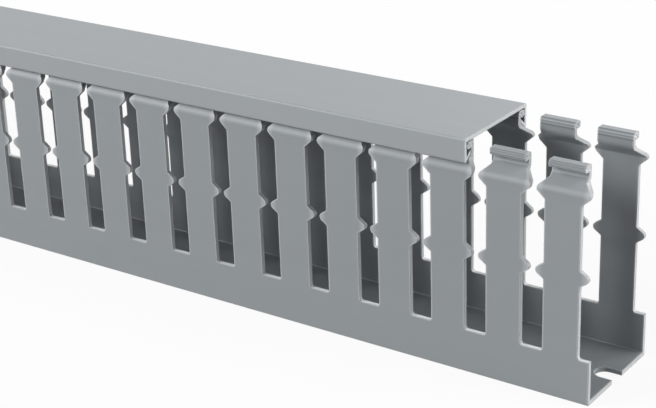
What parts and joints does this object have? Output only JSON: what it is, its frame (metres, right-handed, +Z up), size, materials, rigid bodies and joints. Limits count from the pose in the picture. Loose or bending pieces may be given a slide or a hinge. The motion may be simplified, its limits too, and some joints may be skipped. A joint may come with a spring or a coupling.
{
  "type": "slotted wire duct",
  "caption": "Open-slot wiring duct: a plastic channel with eared side fingers and a hook-on cover that is slid back from one end.",
  "frame": {"origin": "centre of the channel's underside", "axes": "+X along the duct towards its open end, +Z up from the floor to the cover, +Y to the left"},
  "size_m": [1.044, 0.04, 0.079],
  "materials": {
    "channel_plastic": "satin",
    "cover_plastic": "satin"
  },
  "bodies": {
    "channel": {"channel": "channel_plastic"},
    "cover": {"cover": "cover_plastic"}
  },
  "joints": [
    {"name": "cover_slide", "type": "slide", "parent": "channel", "child": "cover", "axis": [1, 0, 0], "range_m": [-0.9, 0.044]}
  ]
}
